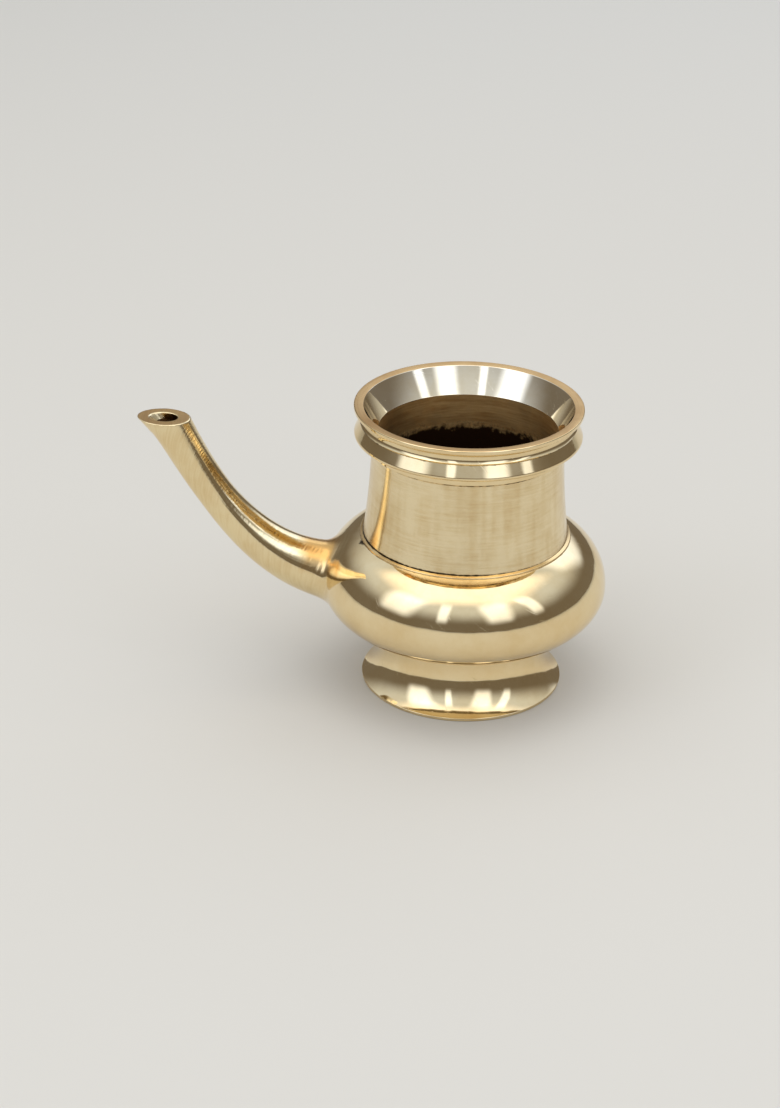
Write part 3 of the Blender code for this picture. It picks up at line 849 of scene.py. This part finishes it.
def spout_side(bearing):
    """How dark the residue and painted shade are at a bearing: most beside the spout, where it is
    hardest to buff, and least on the far side.
    """
    return side_residue_and_shade + side_residue_and_shade_swing * cos(radians(bearing - run_bearing))


def neck_residue_and_shade(radius, height, bearing):
    """Residue and painted shade at the base of the outside, and in the bore, where they darken
    further down.
    """
    if radius < neck_radius(height) - neck_wall / 2:
        return (bore_residue_and_shade_top - height) / bore_residue_and_shade_fade + bore_residue_and_shade_base
    return (neck_seat + base_residue_and_shade_height - height) / base_residue_and_shade_fade * spout_side(bearing)


finish_faces(neck, satin, all_over)
finish_faces(neck, bore_skin, lambda radius, height, outward, upward: outward < -bore_lean)
paint(neck, "residue_and_shade", neck_residue_and_shade)
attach(neck, "root")
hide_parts("neck_tube")

# Bead at the neck's base: a thin raised line of filler brass on the shoulder.
# It closes the joint round the spigot, and is turned with a rounded edge. Residue and painted
# shade darken the corner between it and the neck.
ring_width = 0.95
ring_height = 0.5
ring_round = 0.3
ring_sink = 0.1
ring_lap = 0.15
ring_residue_and_shade_width = 0.25
ring_residue_and_shade_fade = 0.3
ring_inner = neck_base_radius - ring_lap
ring_outer = neck_base_radius + ring_width


def shoulder_at(radius):
    """The height of the shoulder's surface."""
    return equator + shoulder_rise * sqrt(1 - ((radius - shoulder_crown) / shoulder_reach[0]) ** 2)


outline = [(ring_inner, shoulder_at(ring_inner) - ring_sink)]
outline.append((ring_inner, shoulder_at(ring_inner) + ring_height))
outline += arc(
    (ring_outer - ring_round, shoulder_at(ring_outer) + ring_height - ring_round),
    (ring_round, ring_round), 90, 0, 8,
)
outline.append((ring_outer, shoulder_at(ring_outer) - ring_sink))
neck_bead = turn("neck_bead", outline)
finish_faces(neck_bead, filler, all_over)
paint(neck_bead, "residue_and_shade", lambda radius, height, bearing: (
    (neck_base_radius + ring_residue_and_shade_width - radius) / ring_residue_and_shade_fade * spout_side(bearing)))
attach(neck_bead, "root")
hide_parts("neck_braze")

# Mouth: a ring turned in one piece, with a lip, a funnel, a hollow groove and a bevelled collar.
# Brass, buffed to a mirror in the funnel and outside, with the lip's face left as the tool cut it.
# Its socket goes over the top of the neck and is brazed there.
lip_top = 89.976
lip_radius = 34.0
lip_half = 0.8
lip_edge = 0.35
lip_inner = 31.1
lip_dip = 0.25
lip_margin = 0.1
lip_break = ((-0.1, -0.18), (-0.04, -0.06), (0.06, 0.02))
cove_radius = 2.0
cove_start = 110
cove_end = 235
cove_middle = (lip_radius - lip_half, lip_top - 2 * lip_half - cove_radius)
collar_radius = 33.8
collar_edge = 0.9
collar_rise = 0.45
collar_bevel = 30
bevel_rows = 8
collar_middle = (collar_radius - collar_edge, neck_top + collar_rise)
skirt = 30.2
skirt_round = 0.5
skirt_drop = 0.95
socket_depth = 3.1
skirt_end = neck_top - socket_depth
mouth_bore = neck_top_radius - neck_wall
bore_margin = 0.1
funnel_rise = 1.15
funnel_start = neck_top + funnel_rise
funnel_break = (0.12, 0.16)
funnel_lean = 0.3
square_on = 0.9
crease = cove_middle[1] + cove_radius * sin(radians(cove_end))
crease_residue_and_shade = 0.6
crease_width = 0.5
outline = arc((lip_radius - lip_edge, lip_top - lip_edge), (lip_edge, lip_edge), 90, 0, 10)
outline += arc((lip_radius - lip_half, lip_top - lip_half), (lip_half, lip_half), 0, -90, 12)
cove = arc(cove_middle, (cove_radius, cove_radius), cove_start, cove_end, 32)
collar = arc(collar_middle, (collar_edge, collar_edge), collar_bevel, -90, 20)
bevel_ends = Vector(cove[-1]), Vector(collar[0])
bevel = [bevel_ends[0].lerp(bevel_ends[1], row / bevel_rows) for row in range(1, bevel_rows)]
outline += cove + bevel + collar
outline += arc(
    (skirt + skirt_round, neck_top - skirt_drop), (skirt_round, skirt_round), 90, 180, 8,
)
outline += [(skirt, skirt_end), (neck_top_radius, skirt_end)]
outline += [(neck_top_radius, neck_top), (mouth_bore, neck_top)]
outline.append((mouth_bore, funnel_start))
outline.append((mouth_bore + funnel_break[0], funnel_start + funnel_break[1]))
outline += [(lip_inner + across, lip_top - lip_dip + up) for across, up in lip_break]
mouth = turn("mouth", outline)
mirror = turned_brass(
    "mirror_brass", "#F2E8D2", "#E6D2AA", 0.05,
    ring_size=0.5, ring_depth=0.003, wave_depth=0.05, streak=0.35,
)
finish_faces(mouth, buffed, all_over)
finish_faces(mouth, faced, lambda radius, height, outward, upward: (
    upward > square_on and height > lip_top - lip_dip - lip_margin))
finish_faces(mouth, mirror, lambda radius, height, outward, upward: (
    outward < -funnel_lean and upward > FACING and height > funnel_start))
finish_faces(mouth, bore_skin, lambda radius, height, outward, upward: (
    outward < -square_on and radius < mouth_bore + bore_margin))
# The crease between the groove and the collar's bevel is darkened with residue and painted shade
paint(mouth, "residue_and_shade", lambda radius, height, bearing: (
    crease_residue_and_shade - abs(height - crease) / crease_width if radius > skirt else 0.0))
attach(mouth, "root")
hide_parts("mouth_ring")

# Bead under the mouth's socket: a fine line of filler brass.
# It closes the joint between mouth and neck, and is darkened with residue and painted shade.
rim_bead_residue_and_shade = 0.6
rim_bead_proud = 0.02
rim_bead = hanging_bead(
    "rim_bead", neck_top_radius, skirt_end, lap=0.05, edge=0.15,
    toe=neck_radius(skirt_end - bead) + rim_bead_proud,
)
finish_faces(rim_bead, filler, all_over)
# Residue and painted shade over the whole bead
paint(rim_bead, "residue_and_shade", lambda radius, height, bearing: rim_bead_residue_and_shade)
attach(rim_bead, "root")
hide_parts("rim_braze")

# Stage: a floor of matt pale paper, soft boxes round the vessel and a dome of plain light.
# The dome is darker near the floor, so that the brass has dark as well as pale to mirror.
# The camera stands at the photograph's angle.
floor_size = 40.0
bpy.ops.object.select_all(action="DESELECT")
bpy.ops.mesh.primitive_plane_add(size=floor_size)
floor = bpy.context.active_object
floor.name = "floor"
paper = bpy.data.materials.new("matt_paper")
paper.use_nodes = True
paper_shader = paper.node_tree.nodes["Principled BSDF"]
paper_shader.inputs["Base Color"].default_value = linear("#D6D2C8")
paper_shader.inputs["Roughness"].default_value = 0.9
paper_shader.inputs["Specular IOR Level"].default_value = 0.1
floor.data.materials.append(paper)

world = bpy.data.worlds.new("studio")
world.use_nodes = True
bpy.context.scene.world = world
dome = world.node_tree
dome_way = node(dome, "TexCoord").outputs["Generated"]
dome_height = node(dome, "SeparateXYZ", {}, {0: dome_way}).outputs["Z"]
dome_blend = node(
    dome, "MapRange",
    {"interpolation_type": "SMOOTHSTEP", "From Min": 0.25, "From Max": 0.7,
     "To Min": 0.0, "To Max": 1.0},
    {"Value": dome_height},
).outputs[0]
dome_colour = node(
    dome, "Mix", {"data_type": "RGBA", 6: linear("#787168"), 7: linear("#E2E9F3")},
    {0: dome_blend},
).outputs[2]
dome.links.new(dome_colour, dome.nodes["Background"].inputs["Color"])

# Each lamp is a soft box: its bearing from the camera's side and its height, in degrees, its
# distance and its size, in metres, its brightness and its colour.
aim = Vector((0, 0, 0.045))
lamps = (
    ("lamp_above", 0, 86, 1.25, (2.6, 2.0), 1.0, "#FFF3E4"),
    ("lamp_left", -58, 34, 1.3, (0.9, 1.2), 1.3, "#DCE8FF"),
    ("lamp_left_strip", -17, 34, 1.3, (0.24, 1.1), 1.3, "#DCE8FF"),
    ("lamp_right", 30, 34, 1.3, (0.65, 1.15), 1.3, "#DCE8FF"),
    ("lamp_right_strip", 62, 34, 1.3, (0.3, 1.1), 1.3, "#DCE8FF"),
    ("lamp_back", 155, 32, 1.3, (1.5, 0.8), 1.1, "#DCE8FF"),
)
for name, bearing, lamp_height, distance, size, brightness, colour in lamps:
    reach = distance * cos(radians(lamp_height))
    way = Vector((
        reach * sin(radians(bearing)), -reach * cos(radians(bearing)),
        distance * sin(radians(lamp_height)),
    ))
    bpy.ops.object.light_add(type="AREA", location=aim + way)
    lamp = bpy.context.active_object
    lamp.name = name
    lamp.rotation_euler = way.to_track_quat("Z", "Y").to_euler()
    lamp.data.shape = "RECTANGLE"
    lamp.data.size, lamp.data.size_y = size
    lamp.data.energy = brightness * pi * size[0] * size[1]
    lamp.data.color = linear(colour)[:3]

    # The cloth of a soft box is bright in the middle and fades to its edges
    lamp.data.use_nodes = True
    cloth = lamp.data.node_tree
    spot = node(cloth, "NewGeometry").outputs["Parametric"]
    from_middle = node(
        cloth, "Mapping", {"Location": (-1, -1, 0), "Scale": (2, 2, 0)}, {"Vector": spot},
    ).outputs[0]
    from_middle = node(cloth, "VectorMath", {"operation": "ABSOLUTE"}, {0: from_middle}).outputs[0]
    to_edges = node(cloth, "SeparateXYZ", {}, {0: from_middle})
    fades = [
        node(
            cloth, "MapRange",
            {"interpolation_type": "SMOOTHSTEP", "From Min": 1.0, "From Max": 0.4,
             "To Min": 0.0, "To Max": 1.0},
            {"Value": to_edges.outputs[direction]},
        ).outputs[0] for direction in "XY"
    ]
    fade = node(cloth, "Math", {"operation": "MULTIPLY"}, {0: fades[0], 1: fades[1]}).outputs[0]
    cloth.links.new(fade, cloth.nodes["Emission"].inputs["Strength"])

camera_place = Vector((4.82, -677.4, 378.4)) * MM
camera_dip = 26.516
camera_roll = 1.0
camera_data = bpy.data.cameras.new("camera")
camera_data.lens = 81.23
camera_data.sensor_width = 36
camera = bpy.data.objects.new("camera", camera_data)
bpy.context.scene.collection.objects.link(camera)
camera.matrix_world = (
    Matrix.Translation(camera_place)
    @ Matrix.Rotation(radians(90 - camera_dip), 4, "X")
    @ Matrix.Rotation(radians(camera_roll), 4, "Z")
)
bpy.context.scene.camera = camera
bpy.context.scene.view_settings.view_transform = "Standard"
